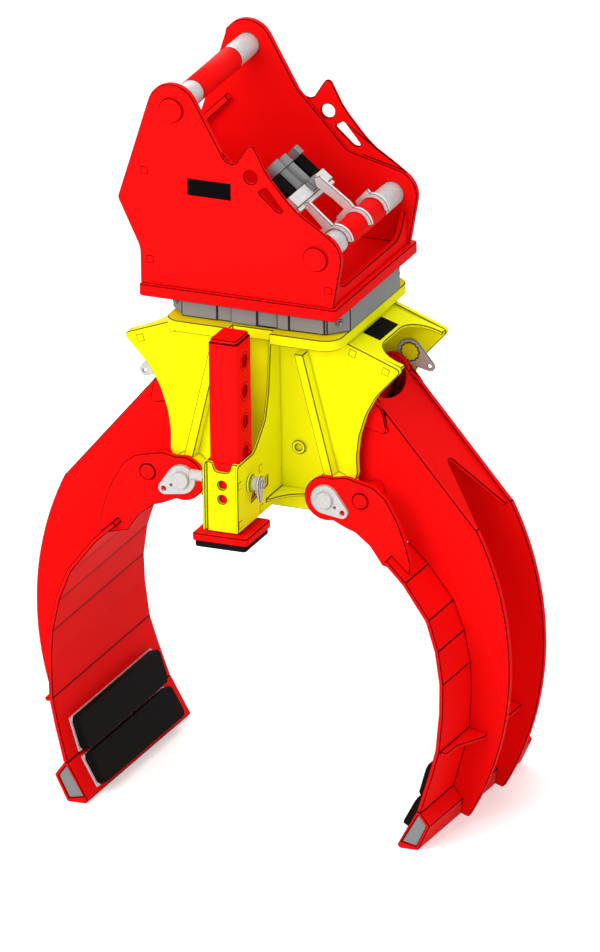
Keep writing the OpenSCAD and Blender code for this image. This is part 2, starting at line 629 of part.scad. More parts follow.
module sleeve(s) color(yellow) on_side(s) {
    both_x() difference() {
        along_x(slv_in, slv_out) polygon(soft([[slv_f - 29, 675], [slv_f - 29, 905], [COL_Y0 + 107, 905],
            [COL_Y0 + 202, 985], [COL_Y0 + 232, 1075], [COL_Y0 + 253, flange_z0], [-frame_y, flange_z0],
            [-frame_y, 675]], [4, 14, 60, 40, 60, 0, 0, 0], 4));
        along_x(0, 100) polygon(soft([[COL_Y0 + 64, 744], [COL_Y0 + 213, 760], [COL_Y0 + 213, 794],
            [COL_Y0 + 90, 780]], 6, 3));
        bar_x(INDEX[0], INDEX[1], index_d / 2 + run_fit, 0, 100);
    }
    along_y(slv_f - 12, slv_f) difference() {
        polygon(soft([[-slv_in, 665], [slv_in, 665], [slv_in, 905], [34, 905], [26, 872], [-26, 872],
            [-34, 905], [-slv_in, 905]], [0, 0, 0, 8, 18, 18, 8, 0], 4));
        translate([0, 828]) circle(15);
        translate([0, 779]) circle(15);
    }
    block([-slv_in, slv_b, 675], [slv_in, slv_b + 10, 900]);
    // curved shelf between the sleeve and the frame plate
    both_x() along_z(704, 714) difference() {
        polygon([[slv_out, -frame_y - 132], [slv_out, -frame_y], [P1[0] - hub_r - 6, -frame_y],
            [P1[0] - hub_r - 6, -frame_y - 30]]);
        translate([slv_out + 142, -frame_y - 172]) circle(138, $fn = 72);
    }
}
module sleeve_front() sleeve(-1);
module sleeve_rear() sleeve(1);

module column_guides() color(bronze) both_y() for (z = [690, 862]) along_z(z, z + 38) difference() {
    translate([-slv_in, slv_f]) square([2 * slv_in, slv_b - slv_f]);
    column_plan(column_w / 2, COL_Y0, COL_Y1);
}
module column_feet() color(red) both_y() along_z(foot_z0, foot_z1) polygon(soft([[-97, COL_Y0 - 47],
    [97, COL_Y0 - 47], [97, COL_Y1 + 36], [-97, COL_Y1 + 36]], 14, 4));
module foot_pads() color(black) both_y() along_z(615, foot_z0) polygon(soft([[-90, COL_Y0 - 40],
    [90, COL_Y0 - 40], [90, COL_Y1 + 30], [-90, COL_Y1 + 30]], 12, 4));
module pin_bushes() color(yellow) both_y() both_x() difference() {
    bar_x(INDEX[0], INDEX[1], index_d / 2 + 12, slv_out, slv_out + 12);
    bar_x(INDEX[0], INDEX[1], index_d / 2 + run_fit, slv_out - 1, slv_out + 13);
}
module index_pin(s) color(steel) on_side(s) {
    bar_x(INDEX[0], INDEX[1], index_d / 2, -145, slv_out + 34);
    bar_x(INDEX[0], INDEX[1], index_d / 2 + 6, slv_out + 12.5, slv_out + 34);
    along_x(slv_out + 34, slv_out + 43) translate(INDEX) teardrop(28, [-4, -50], 12);
    bar_x(INDEX[0], INDEX[1], 12, slv_out + 43, slv_out + 52);
}
module index_pin_front() index_pin(-1);
module index_pin_rear() index_pin(1);

frame_plate_front();
frame_plate_rear();
frame_core();
frame_roof();
roof_label();
top_flange();
frame_ribs();
pivot_hubs();
pivot_bushes();
ear_pins();
ear_pin_flags();
slew_ring_gear();
slew_ring_bolts();
sleeve_front();
sleeve_rear();
pin_bushes();
column_front();
column_rear();
column_guides();
column_feet();
foot_pads();
head_plate_front();
head_plate_rear();
head_base();
head_walls();
head_label();
coupler_pin_upper();
coupler_pin_lower();
pin_sleeves();
rotator_housing();
housing_fittings();
slew_outer_ring();
slew_motor();
slew_pinion();
hose_bracket();
coupling_blocks();
hose_couplings();
arm_plates_right();
arm_lugs_right();
arm_belly_right();
arm_stiffeners_right();
arm_tip_right();
tip_bar_right();
grip_pads_right();
pivot_pins_right();
cylinder_pin_right();
arm_plates_left();
arm_lugs_left();
arm_belly_left();
arm_stiffeners_left();
arm_tip_left();
tip_bar_left();
grip_pads_left();
pivot_pins_left();
cylinder_pin_left();
cylinder_barrel();
cylinder_gland();
cylinder_rod();
index_pin_front();
index_pin_rear();
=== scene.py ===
"""Visual model of an excavator pipe grab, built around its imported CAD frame."""

import json
import math

import bmesh
import bpy
from mathutils import Matrix, Vector


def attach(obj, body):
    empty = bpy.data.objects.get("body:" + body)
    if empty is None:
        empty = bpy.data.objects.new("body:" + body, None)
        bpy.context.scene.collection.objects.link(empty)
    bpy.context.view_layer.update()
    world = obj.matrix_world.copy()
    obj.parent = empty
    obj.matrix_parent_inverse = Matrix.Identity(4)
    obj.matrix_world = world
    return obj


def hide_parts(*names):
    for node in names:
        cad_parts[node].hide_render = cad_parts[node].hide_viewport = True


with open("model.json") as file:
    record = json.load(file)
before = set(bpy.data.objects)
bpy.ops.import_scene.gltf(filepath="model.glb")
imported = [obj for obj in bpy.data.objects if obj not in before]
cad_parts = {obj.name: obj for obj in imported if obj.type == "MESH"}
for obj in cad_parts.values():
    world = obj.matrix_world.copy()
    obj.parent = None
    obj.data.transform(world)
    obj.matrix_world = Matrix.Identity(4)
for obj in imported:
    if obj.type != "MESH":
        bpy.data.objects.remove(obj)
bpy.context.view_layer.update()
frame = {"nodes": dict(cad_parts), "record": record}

bl_info = {
    "name": "Pipe grab",
    "version": (1, 0, 0),
    "blender": (4, 5, 0),
    "location": "View3D > Sidebar > Pipe grab",
    "description": "Dresses the pipe grab's CAD frame with painted, turned and rubber finishes",
    "category": "Object",
}

NODE_BODY = {n: b for b, names in frame["record"]["behaviour"]["bodies"].items() for n in names}
NODE_SLOT = {s["node"]: s["material_slot"] for s in frame["record"]["subparts"]}

# X and Z of the pins, in millimetres from the axis of the gripped circle
UPPER_PIN = (-254, 2014)
LOWER_PIN = (246, 1567)
ARM_PIVOT = (252, 724)
# height of that axis above the ground, in metres
GROUND_TO_AXIS = 0.394
MM_PER_METRE = 1000

# degrees: edges sharper than the first are broken, faces that meet flatter than the second shade as one
EDGE_ANGLE = 34
SMOOTH_ANGLE = 28
# the same for plates that are folded in small steps
FOLD_EDGE_ANGLE = 6
FOLD_SMOOTH_ANGLE = 4


class FinishSizes(bpy.types.PropertyGroup):
    """Colours and edge sizes of the finishes."""

    yellow: bpy.props.FloatVectorProperty(
        name="Yellow paint", description="Colour of the frame and the sleeves",
        subtype="COLOR", size=3, min=0, max=1, default=(0.92, 0.92, 0.004))
    red: bpy.props.FloatVectorProperty(
        name="Red paint", description="Colour of the arms, head, columns and feet",
        subtype="COLOR", size=3, min=0, max=1, default=(0.90, 0.004, 0.004))
    grey: bpy.props.FloatVectorProperty(
        name="Grey paint", description="Colour of the drive housing and cylinder barrel",
        subtype="COLOR", size=3, min=0, max=1, default=(0.25, 0.26, 0.265))
    steel: bpy.props.FloatVectorProperty(
        name="Pin steel", description="Colour of the turned pins",
        subtype="COLOR", size=3, min=0, max=1, default=(0.56, 0.56, 0.56))
    edge_width: bpy.props.FloatProperty(
        name="Edge width", description="Width of the broken edges on plates",
        unit="LENGTH", min=0.0005, max=0.005, default=0.0030)
    mark_size: bpy.props.FloatProperty(
        name="Mark size", description="Side of the square tab ends that show in the plates",
        unit="LENGTH", min=0.01, max=0.04, default=0.021)


class StageSizes(bpy.types.PropertyGroup):
    """Camera framing, floor and sky of the studio."""

    view_height: bpy.props.FloatProperty(
        name="View height", description="Height that the picture shows across its long side",
        unit="LENGTH", min=1, max=10, default=3.0725)
    floor_size: bpy.props.FloatProperty(
        name="Floor size", description="Side of the pale studio floor",
        unit="LENGTH", min=5, max=80, default=40)
    floor_glow: bpy.props.FloatProperty(
        name="Floor glow", description="Light that the floor adds where it is seen, so that it reads white",
        subtype="FACTOR", min=0, max=1, default=0.45)
    sky: bpy.props.FloatProperty(
        name="Sky", description="Strength of the even light from all round",
        subtype="FACTOR", min=0, max=1, default=0.54)


# node-based finishes

# part of a noise's range over which a colour drifts
DRIFT_RANGE = (0.3, 0.7)
BRIGHT_STEEL = (0.74, 0.74, 0.74)
BLACK_PLATE = (0.002, 0.002, 0.002)
BLACK_RUBBER = (0.004, 0.004, 0.004)
BRONZE = (0.42, 0.27, 0.10)
CHROME = (0.75, 0.75, 0.77)
CHROME_ROUGHNESS = 0.14
# brightness of a broken edge beside its bright paint, and beside grey paint or steel
BRIGHT_PAINT_EDGE = 0.10
DULL_EDGE = 0.12


def shader_tree(name):
    """New material with its node tree and its main shader."""
    mat = bpy.data.materials.new(name)
    mat.use_nodes = True
    tree = mat.node_tree
    return mat, tree, tree.nodes["Principled BSDF"]


def add_node(tree, kind, **values):
    """Node whose settings, or else inputs, take the values of the same name."""
    made = tree.nodes.new(kind)
    for key, value in values.items():
        if hasattr(made, key):
            setattr(made, key, value)
        else:
            made.inputs[key.replace("_", " ")].default_value = value
    return made


def object_noise(tree, scale, detail):
    """Noise that stays with the object."""
    place = add_node(tree, "ShaderNodeTexCoord")
    noise = add_node(tree, "ShaderNodeTexNoise", Scale=scale, Detail=detail)
    tree.links.new(place.outputs["Object"], noise.inputs["Vector"])
    return noise


def shade_of(colour, factor):
    return tuple(min(1.0, c * factor) for c in colour[:3])


def drifting_colour(tree, shader, noise, colour, low, high):
    """Base colour that drifts between two shades with a noise."""
    ramp = add_node(tree, "ShaderNodeValToRGB")
    for stop, place, factor in zip(ramp.color_ramp.elements, DRIFT_RANGE, (low, high)):
        stop.position = place
        stop.color = (*shade_of(colour, factor), 1)
    tree.links.new(noise.outputs["Fac"], ramp.inputs["Fac"])
    tree.links.new(ramp.outputs["Color"], shader.inputs["Base Color"])


def fine_relief(tree, shader, noise, strength, depth):
    """Small bumps that follow a noise."""
    bump = add_node(tree, "ShaderNodeBump", Strength=strength, Distance=depth)
    tree.links.new(noise.outputs["Fac"], bump.inputs["Height"])
    tree.links.new(bump.outputs["Normal"], shader.inputs["Normal"])


def set_gloss(shader, roughness, specular, metallic=0.0):
    """How a finish reflects the light."""
    shader.inputs["Roughness"].default_value = roughness
    shader.inputs["Specular IOR Level"].default_value = specular
    shader.inputs["Metallic"].default_value = metallic


def painted(name, colour):
    """Sprayed paint: a slight cloud in the colour and a fine orange peel."""
    mat, tree, shader = shader_tree(name)
    clouds = object_noise(tree, scale=2.3, detail=4.0)
    drifting_colour(tree, shader, clouds, colour, low=0.97, high=1.015)
    peel = object_noise(tree, scale=260.0, detail=2.0)
    fine_relief(tree, shader, peel, strength=0.05, depth=0.001)
    set_gloss(shader, roughness=0.55, specular=0.02)
    return mat


def turned_steel(name, colour, roughness=0.36):
    """Machined steel with fine tool marks."""
    mat, tree, shader = shader_tree(name)
    marks = object_noise(tree, scale=90.0, detail=2.0)
    drifting_colour(tree, shader, marks, colour, low=0.9, high=1.06)
    fine_relief(tree, shader, marks, strength=0.04, depth=0.0005)
    set_gloss(shader, roughness, specular=0.2, metallic=0.1)
    return mat


def moulded_rubber(name, colour):
    """Matt rubber with a fine grain."""
    mat, tree, shader = shader_tree(name)
    grain = object_noise(tree, scale=420.0, detail=3.0)
    drifting_colour(tree, shader, grain, colour, low=0.8, high=1.3)
    fine_relief(tree, shader, grain, strength=0.2, depth=0.0008)
    set_gloss(shader, roughness=0.85, specular=0.08)
    return mat


FINISH = {}


def make_finishes(sizes):
    """One material for each finish, kept by name."""
    yellow, red, grey, steel = (tuple(c) for c in (sizes.yellow, sizes.red, sizes.grey, sizes.steel))
    FINISH.update({
        "yellow_paint": painted("yellow_paint", yellow),
        "yellow_edge": painted("yellow_edge", shade_of(yellow, BRIGHT_PAINT_EDGE)),
        "red_paint": painted("red_paint", red),
        "red_edge": painted("red_edge", shade_of(red, BRIGHT_PAINT_EDGE)),
        "grey_paint": painted("grey_paint", grey),
        "grey_edge": painted("grey_edge", shade_of(grey, DULL_EDGE)),
        "pin_steel": turned_steel("pin_steel", steel),
        "bright_steel": turned_steel("bright_steel", BRIGHT_STEEL),
        "steel_edge": turned_steel("steel_edge", shade_of(steel, DULL_EDGE)),
        "black_plate": painted("black_plate", BLACK_PLATE),
        "black_rubber": moulded_rubber("black_rubber", BLACK_RUBBER),
        "bronze": turned_steel("bronze", BRONZE),
        "rod_chrome": turned_steel("rod_chrome", CHROME, CHROME_ROUGHNESS),
    })


EDGE_OF = {
    "yellow_paint": "yellow_edge", "red_paint": "red_edge", "grey_paint": "grey_edge",
    "pin_steel": "steel_edge", "black_plate": "black_plate", "black_rubber": "black_rubber",
    "bronze": "steel_edge", "rod_chrome": "steel_edge",
}


# making pieces

def deselect_all():
    if bpy.context.mode != "OBJECT":
        bpy.ops.object.mode_set(mode="OBJECT")
    bpy.ops.object.select_all(action="DESELECT")


def make_active(piece):
    deselect_all()
    piece.select_set(True)
    bpy.context.view_layer.objects.active = piece


def apply_place():
    """The selected piece's place, turn and scale go into its mesh."""
    bpy.ops.object.transform_apply(location=True, rotation=True, scale=True)


def smooth_within(angle):
    """Faces of the selected piece shade as one where they meet flatter than an angle in degrees."""
    bpy.ops.object.shade_smooth_by_angle(angle=math.radians(angle))


def settle(piece, body, slot, *finishes):
    """The piece takes its finishes in order, and it rides on its body."""
    make_active(piece)
    apply_place()
    for place, finish in enumerate(finishes):
        if place == len(piece.data.materials):
            piece.data.materials.append(None)
        piece.data.materials[place] = FINISH[finish]
    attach(piece, body)


def edge_bevel(piece, width, limit=EDGE_ANGLE, held=True):
    """Narrow bevel in the second finish along every edge sharper than the limit in degrees."""
    make_active(piece)
    for _ in range(2 - len(piece.data.materials)):
        piece.data.materials.append(None)
    bevel = piece.modifiers.new("broken_edge", "BEVEL")
    bevel.width = width
    bevel.segments = 1
    bevel.limit_method = "ANGLE"
    bevel.angle_limit = math.radians(limit)
    bevel.material = 1
    bevel.use_clamp_overlap = held
    bevel.loop_slide = False
    bpy.ops.object.modifier_apply(modifier=bevel.name)


# finishes of the CAD nodes

# parts that are folded in small steps
FOLDED = ("arm_belly", )
# parts of plain plate, whose edges all take the full width
PLATES = ("arm_plates", "arm_lugs", "arm_stiffeners", "arm_tip", "column_front", "column_rear",
          "column_feet", "foot_pads", "head_base", "head_walls", "pin_sleeves", "sleeve_", "frame_",
          "top_flange", "pivot_hubs")
# parts inside the machine, whose edges stay as they are
INSIDE = ("slew_", "pivot_bushes")
FINISHED_AS = {"ear_pins": "yellow_paint", "column_guides": "red_paint"}
# nodes that get a piece of their own below
DRAWN_AGAIN = {"head_plate_front", "head_plate_rear", "frame_plate_front", "frame_plate_rear",
               "rotator_housing", "hose_bracket"}
# distance in metres within which points merge, and bend in degrees below which faces do
CAD_WELD = 2e-5
CAD_FLAT = 0.6


def broken_edges(node, width):
    """A copy of a CAD node with merged faces and narrow broken edges."""
    source = frame["nodes"][node]
    mesh = source.data.copy()
    mesh.name = node + "_finished"
    piece = bpy.data.objects.new(node + "_finished", mesh)
    bpy.context.scene.collection.objects.link(piece)
    bm = bmesh.new()
    bm.from_mesh(mesh)
    bmesh.ops.remove_doubles(bm, verts=bm.verts, dist=CAD_WELD)
    bmesh.ops.dissolve_degenerate(bm, edges=bm.edges, dist=CAD_WELD)
    bmesh.ops.dissolve_limit(bm, angle_limit=math.radians(CAD_FLAT), verts=bm.verts, edges=bm.edges)
    bm.to_mesh(mesh)
    bm.free()
    folded = node.startswith(FOLDED)
    edge_bevel(piece, width, FOLD_EDGE_ANGLE if folded else EDGE_ANGLE, not node.startswith(PLATES))
    smooth_within(FOLD_SMOOTH_ANGLE if folded else SMOOTH_ANGLE)
    return piece


class PIPEGRAB_OT_finish_nodes(bpy.types.Operator):
    """Give each CAD node its finish, and those in view their broken edges"""

    bl_idname = "pipegrab.finish_nodes"
    bl_label = "Finish the CAD nodes"

    def execute(self, context):
        sizes = context.scene.pipegrab_finish
        make_finishes(sizes)
        for node, obj in frame["nodes"].items():
            finish = FINISHED_AS.get(node, NODE_SLOT[node])
            obj.data.materials.clear()
            obj.data.materials.append(FINISH[finish])
            if node in DRAWN_AGAIN or node.startswith(INSIDE):
                continue
            piece = broken_edges(node, sizes.edge_width)
            settle(piece, NODE_BODY[node], finish, finish, EDGE_OF[finish])
            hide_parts(node)
        return {"FINISHED"}


# outlines in millimetres, with the axis of the gripped circle as their origin

LOBE_STEPS = 20


def points_of(pairs, side=1):
    """Pairs of coordinates as vectors, mirrored where the side is -1."""
    return [Vector((side * x, y)) for x, y in pairs]


def on_circle(centre, radius, angle):
    """Point on a circle at an angle in radians."""
    return Vector(centre) + radius * Vector((math.cos(angle), math.sin(angle)))


def turned(centre, radius, start, turn, steps):
    """Points on a circle from one angle through a turn, in radians."""
    return [on_circle(centre, radius, start + turn * k / steps) for k in range(steps + 1)]


def arc(centre, radius, first, last, steps):
    """Points on a circle between two angles in degrees."""
    return [on_circle(centre, radius, math.radians(first + (last - first) * k / steps))
            for k in range(steps + 1)]


def ring(centre, radius, steps=40):
    """Points all round a circle."""
    return [on_circle(centre, radius, 2 * math.pi * k / steps) for k in range(steps)]


def rounded(corners, steps=6):
    """Outline whose corners (x, z, radius) are rounded."""
    points = []
    for i, corner in enumerate(corners):
        here = Vector(corner[:2])
        radius = corner[2] if len(corner) > 2 else 0
        if not radius:
            points.append(here)
            continue
        back = (Vector(corners[i - 1][:2]) - here).normalized()
        ahead = (Vector(corners[(i + 1) % len(corners)][:2]) - here).normalized()
        half = back.angle(ahead) / 2
        centre = here + (back + ahead).normalized() * (radius / math.sin(half))
        first = here + back * (radius / math.tan(half)) - centre
        last = here + ahead * (radius / math.tan(half)) - centre
        start = math.atan2(first.y, first.x)
        turn = (math.atan2(last.y, last.x) - start + math.pi) % (2 * math.pi) - math.pi
        points += turned(centre, radius, start, turn, steps)
    return points


def tangent_angle(point, centre, radius, arriving):
    """Angle on a circle where a clockwise outline meets it or leaves it."""
    away = Vector(point) - Vector(centre)
    base = math.atan2(away.y, away.x)
    spread = math.acos(radius / away.length)
    return base - spread if arriving else base + spread


def lobe(before, centre, radius, after):
    """Round end of a clockwise outline between two straight edges."""
    start = tangent_angle(before, centre, radius, True)
    end = tangent_angle(after, centre, radius, False)
    while end > start:
        end -= 2 * math.pi
    return turned(centre, radius, start, end - start, LOBE_STEPS)


# drawn plates

# the weld and the flat bend for what is drawn here
DRAWN_WELD = 1e-5
DRAWN_FLAT = 0.5


def tidy_faces(piece):
    """Doubles merged, flat faces dissolved and normals outward."""
    make_active(piece)
    bpy.ops.object.mode_set(mode="EDIT")
    bpy.ops.mesh.select_all(action="SELECT")
    bpy.ops.mesh.remove_doubles(threshold=DRAWN_WELD)
    bpy.ops.mesh.dissolve_limited(angle_limit=math.radians(DRAWN_FLAT))
    bpy.ops.mesh.normals_make_consistent(inside=False)
    bpy.ops.object.mode_set(mode="OBJECT")


def flat_plate(name, loops, start, end, across="Y"):
    """Solid plate between two places along an axis, drawn as a filled flat curve."""
    curve = bpy.data.curves.new(name, "CURVE")
    curve.dimensions = "2D"
    curve.fill_mode = "BOTH"
    curve.extrude = (end - start) / 2 / MM_PER_METRE
    rise = 0 if across == "Z" else GROUND_TO_AXIS
    for points in loops:
        spline = curve.splines.new("POLY")
        spline.points.add(len(points) - 1)
        for target, point in zip(spline.points, points):
            target.co = (point.x / MM_PER_METRE, point.y / MM_PER_METRE + rise, 0, 1)
        spline.use_cyclic_u = True
    piece = bpy.data.objects.new(name, curve)
    bpy.context.scene.collection.objects.link(piece)
    middle = (start + end) / 2 / MM_PER_METRE
    if across == "Y":
        piece.location = (0, middle, 0)
        piece.rotation_euler = (math.pi / 2, 0, 0)
    elif across == "X":
        piece.location = (middle, 0, 0)
        piece.rotation_euler = (math.pi / 2, 0, math.pi / 2)
    else:
        piece.location = (0, 0, middle + GROUND_TO_AXIS)
    make_active(piece)
    bpy.ops.object.convert(target="MESH")
    apply_place()
    tidy_faces(piece)
    return piece


def joined(piece, other):
    """Union of two solids."""
    make_active(piece)
    union = piece.modifiers.new("joined", "BOOLEAN")
    union.operation = "UNION"
    union.solver = "EXACT"
    union.object = other
    bpy.ops.object.modifier_apply(modifier=union.name)
    bpy.data.objects.remove(other, do_unlink=True)
    tidy_faces(piece)
    return piece


def finish_plate(piece, node, slot, width, limit=EDGE_ANGLE):
    """Broken edges, finish and place of a drawn plate that stands for a CAD node."""
    edge_bevel(piece, width, limit, held=False)
    smooth_within(SMOOTH_ANGLE)
    settle(piece, NODE_BODY[node], slot, slot, EDGE_OF[slot])
    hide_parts(node)


# head plates and frame plates: corners are X and Z, with a radius where they are rounded

HEAD_LEFT_EDGE = [(-372, 1400), (-372, 1520, 90), (-449, 1684, 24), (-437, 1722)]
HEAD_RIGHT_FOOT = (303, 1400)
HOOK_EDGE = [(-86, 1887), (-78, 1870), (-63, 1857), (-44, 1852), (-29, 1859), (-14, 1882), (2, 1908),
             (11, 1920), (21, 1924), (32, 1920), (46, 1893), (68, 1848), (92, 1814), (122, 1778),
             (152, 1743), (188, 1710), (248, 1672)]
# edge of the inner half below the hook, and the angles on the lower lobe where it joins
PLAIN_EDGE = [HOOK_EDGE[0], (92, 1693, 60), (271, 1650)]
PLAIN_EDGE_JOIN = (71, 57)
HOOK_SLIT = [(44, 1768, 6), (74, 1788, 9), (138, 1708, 6), (110, 1709, 24)]
HOOK_HOLE = (20, 1816)
HOOK_HOLE_RADIUS = 23.5
UPPER_LOBE_RADIUS = 86
LOWER_LOBE_RADIUS = 87
PIN_HOLE_RADIUS = 39.5
# distances from the middle of the machine: inner face, where the hooked half starts, outer face
HEAD_PLATE_FACES = (300, 313, 325)

# right half from the top down to the pivot's lobe, and the middle point that its lower edge runs to
FRAME_EDGE = [(292, 1240), (490, 1166, 13), (442, 1114, 160), (400, 1068, 160), (362, 1000, 160),
              (336, 920, 160), (327, 850, 160), (329, 790, 20), (322, 771)]
FRAME_LOWER_MIDDLE = (0, 642)
PIVOT_LOBE_RADIUS = 82
PIVOT_HOLE_RADIUS = 64.9
FRAME_PLATE_FACES = (183, 206)


def head_plate_loops(hooked):
    """Head plate: the outer half carries the hook, the inner half runs straight below it."""
    left = rounded(HEAD_LEFT_EDGE) + lobe(HEAD_LEFT_EDGE[-1], UPPER_PIN, UPPER_LOBE_RADIUS, HOOK_EDGE[0])
    right = lobe(HOOK_EDGE[-1], LOWER_PIN, LOWER_LOBE_RADIUS, HEAD_RIGHT_FOOT) + [Vector(HEAD_RIGHT_FOOT)]
    pin_holes = [ring(UPPER_PIN, PIN_HOLE_RADIUS), ring(LOWER_PIN, PIN_HOLE_RADIUS)]
    if not hooked:
        plain = rounded(PLAIN_EDGE, steps=5) + arc(LOWER_PIN, LOWER_LOBE_RADIUS, *PLAIN_EDGE_JOIN, steps=3)
        return [left + plain + right, *pin_holes]
    hook_holes = [ring(HOOK_HOLE, HOOK_HOLE_RADIUS), rounded(HOOK_SLIT, steps=5)]
    return [left + points_of(HOOK_EDGE) + right, *hook_holes, *pin_holes]


def frame_plate_loops():
    """Frame plate: two mirrored halves with a lobe and a hole at each arm pivot."""
    right = rounded(FRAME_EDGE, steps=4)
    right += lobe(FRAME_EDGE[-1], ARM_PIVOT, PIVOT_LOBE_RADIUS, FRAME_LOWER_MIDDLE)
    left = points_of(reversed(right), -1)
    pivot_holes = [ring((side * ARM_PIVOT[0], ARM_PIVOT[1]), PIVOT_HOLE_RADIUS) for side in (1, -1)]
    return [right + left, *pivot_holes]


class PIPEGRAB_OT_plates(bpy.types.Operator):
    """Draw the head plates and the frame plates with their smooth outlines"""

    bl_idname = "pipegrab.plates"
    bl_label = "Head and frame plates"

    def execute(self, context):
        width = context.scene.pipegrab_finish.edge_width
        for node, side in (("head_plate_front", -1), ("head_plate_rear", 1)):
            inner, middle, outer = (side * face for face in HEAD_PLATE_FACES)
            hooked = flat_plate(node + "_drawn", head_plate_loops(True), *sorted((middle, outer)))
            plain = flat_plate(node + "_inner", head_plate_loops(False), *sorted((inner, middle)))
            finish_plate(joined(hooked, plain), node, "red_paint", width)
        for node, side in (("frame_plate_front", -1), ("frame_plate_rear", 1)):
            faces = sorted(side * face for face in FRAME_PLATE_FACES)
            piece = flat_plate(node + "_drawn", frame_plate_loops(), *faces)
            finish_plate(piece, node, "yellow_paint", width)
        return {"FINISHED"}


# drive housing: X and Y of one long side, outside with its cover plates and inside

HOUSING_COVERS = [(-312, -204), (-255, -264), (-254, -268), (-130, -268), (-130, -264), (-80, -264),
                  (-80, -273), (12, -273), (12, -266), (82, -266), (82, -273), (124, -273), (124, -268),
                  (246, -268), (246, -264), (255, -264), (312, -204)]
HOUSING_INSIDE = [(-294, -196), (-244, -246), (244, -246), (294, -196)]
HOUSING_HEIGHTS = (1281, 1360)
HOUSING_EDGE_ANGLE = 20


def both_long_sides(points):
    """Closed plan from one long side and its mirror image."""
    return points_of(points) + [Vector((x, -y)) for x, y in reversed(points)]


class PIPEGRAB_OT_drive_housing(bpy.types.Operator):
    """Draw the drive housing with the cover plates on its long sides"""

    bl_idname = "pipegrab.drive_housing"
    bl_label = "Drive housing"

    def execute(self, context):
        loops = [both_long_sides(HOUSING_COVERS), both_long_sides(HOUSING_INSIDE)]
        piece = flat_plate("drive_housing", loops, *HOUSING_HEIGHTS, "Z")
        width = context.scene.pipegrab_finish.edge_width
        finish_plate(piece, "rotator_housing", "grey_paint", width, HOUSING_EDGE_ANGLE)
        return {"FINISHED"}


# hose bracket: three hooks that lie over the lower pin, on a block

# top edge, angles on the pin's circle where the outer and the inner arc end, lower edge, place along the pin
HOOKS = [
    ([(135, 1683), (148, 1690), (234, 1618)], 100, 165, [(189, 1597), (196, 1608), (138, 1667)], -159),
    ([(102, 1708), (119, 1716), (222, 1642)], 98, 205,
     [(183, 1549), (165, 1560), (179, 1576), (177, 1584), (203, 1615), (162, 1647), (125, 1668), (108, 1679)],
     2),
    ([(219, 1628), (228, 1635)], 99, 190, [(188, 1580), (185, 1591)], 139),
]
HOOK_THICKNESS = 15
HOOK_OUTER_RADIUS = 57
HOOK_INNER_RADIUS = 42.3
# angle on the pin's circle where every hook has its tip
HOOK_TIP = 4
# lowest and highest corner of each block, from the pin's centre and before the bracket's turn in degrees
BRACKET_BLOCKS = [((166, -142, 15), (212, 145, 45)), ((150, -142, 22), (166, 145, 34))]
BRACKET_TURN = -141.3
# its edges' share of the usual width
BRACKET_EDGE_SHARE = 0.6


def bracket_hook(name, top, outer_end, inner_end, under, place):
    """Flat hook whose two arcs lie round the lower pin."""
    outer = arc(LOWER_PIN, HOOK_OUTER_RADIUS, outer_end, HOOK_TIP, steps=12)
    inner = arc(LOWER_PIN, HOOK_INNER_RADIUS, HOOK_TIP, inner_end, steps=18)
    outline = points_of(top) + outer + inner + points_of(under)
    return flat_plate(name, [outline], place, place + HOOK_THICKNESS)


def bracket_block(name, lowest, highest):
    """Block between two corners, turned about the lower pin."""
    deselect_all()
    middle = [(a + b) / 2 / MM_PER_METRE for a, b in zip(lowest, highest)]
    size = [(b - a) / MM_PER_METRE for a, b in zip(lowest, highest)]
    bpy.ops.mesh.primitive_cube_add(size=1, location=middle, scale=size)
    block = bpy.context.active_object
    block.name = name
    apply_place()
    block.rotation_euler = (0, math.radians(BRACKET_TURN), 0)
    block.location = (LOWER_PIN[0] / MM_PER_METRE, 0, LOWER_PIN[1] / MM_PER_METRE + GROUND_TO_AXIS)
    apply_place()
    return block


class PIPEGRAB_OT_hose_bracket(bpy.types.Operator):
    """Draw the bracket that hooks the hose couplings over the lower coupler pin"""

    bl_idname = "pipegrab.hose_bracket"
    bl_label = "Hose bracket"

    def execute(self, context):
        parts = [bracket_hook("hook_%d" % number, *hook) for number, hook in enumerate(HOOKS)]
        parts += [bracket_block("bracket_block_%d" % number, *corners)
                  for number, corners in enumerate(BRACKET_BLOCKS)]
        piece = parts[0]
        for other in parts[1:]:
            piece = joined(piece, other)
        piece.name = "hose_bracket_drawn"
        edge_bevel(piece, context.scene.pipegrab_finish.edge_width * BRACKET_EDGE_SHARE)
        smooth_within(SMOOTH_ANGLE)
        settle(piece, NODE_BODY["hose_bracket"], "pin_steel", "bright_steel", "steel_edge")
        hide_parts("hose_bracket")
        return {"FINISHED"}


# small gusset on an arm's side plate: corners of the right arm's, and where the front and the rear one start

GUSSET = [(440, 916, 13), (346, 1034, 10), (318, 1030, 10), (318, 944, 10)]
GUSSET_HOLE = (366, 966)
GUSSET_HOLE_RADIUS = 7
GUSSET_PLACES = (-161, 153.5)
GUSSET_THICKNESS = 7.5
GUSSET_EDGE_SHARE = 0.7


